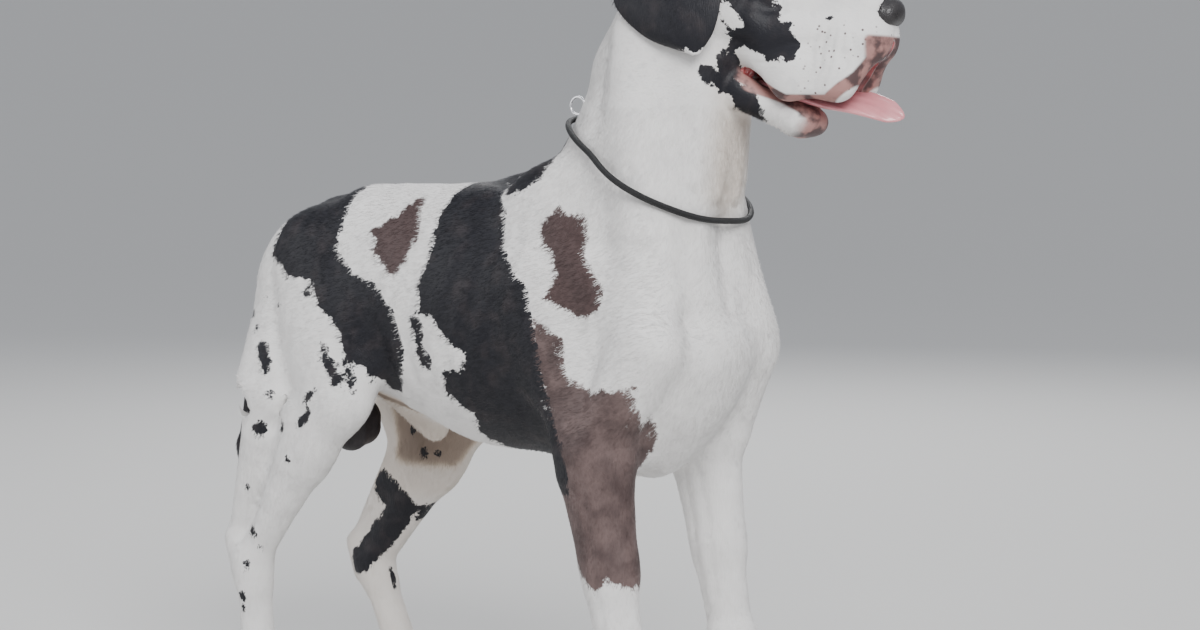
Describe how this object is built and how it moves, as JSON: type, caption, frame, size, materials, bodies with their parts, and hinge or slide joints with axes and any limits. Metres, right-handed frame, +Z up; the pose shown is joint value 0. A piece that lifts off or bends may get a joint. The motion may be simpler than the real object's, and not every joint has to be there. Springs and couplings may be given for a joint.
{
  "type": "great dane dog",
  "caption": "Life-size model of a standing great dane dog with a black and white patched coat, mouth open with its tongue out, wearing a thin cord collar.",
  "frame": {"origin": "on the floor under the middle of the bounding box", "axes": "+X from tail to nose, +Y to the dog's left, +Z up"},
  "size_m": [1.1672, 0.3404, 1.1453],
  "materials": {
    "coat": "short glossy hair over skin, white with dark patches",
    "dark_coat": "short glossy black hair over skin",
    "dark_skin": "bare dark skin",
    "nose_skin": "damp pebbled black skin",
    "tongue": "wet pink skin",
    "eye": "wet, clear over a brown iris",
    "claw": "worn horn",
    "collar_cord": "woven black cord",
    "collar_ring": "polished"
  },
  "bodies": {
    "root": {"torso": "coat", "neck": "coat", "head": "coat", "lower_jaw": "coat", "nose": "nose_skin", "tongue": "tongue", "tail_root": "coat", "tail_end": "dark_coat", "sheath": "coat", "scrotum": "dark_skin", "collar": "collar_cord", "collar_ring": "collar_ring", "ear_left": "dark_coat", "eye_left": "eye", "upper_arm_left": "coat", "forearm_left": "coat", "fore_pastern_left": "coat", "fore_paw_left": "coat", "thigh_left": "coat", "lower_thigh_left": "coat", "hind_pastern_left": "coat", "hind_paw_left": "coat", "fore_claw_left_1": "claw", "fore_claw_left_2": "claw", "fore_claw_left_3": "claw", "fore_claw_left_4": "claw", "hind_claw_left_1": "claw", "hind_claw_left_2": "claw", "hind_claw_left_3": "claw", "hind_claw_left_4": "claw", "ear_right": "dark_coat", "eye_right": "eye", "upper_arm_right": "coat", "forearm_right": "coat", "fore_pastern_right": "coat", "fore_paw_right": "coat", "thigh_right": "coat", "lower_thigh_right": "coat", "hind_pastern_right": "coat", "hind_paw_right": "coat", "fore_claw_right_1": "claw", "fore_claw_right_2": "claw", "fore_claw_right_3": "claw", "fore_claw_right_4": "claw", "hind_claw_right_1": "claw", "hind_claw_right_2": "claw", "hind_claw_right_3": "claw", "hind_claw_right_4": "claw"}
  },
  "joints": []
}
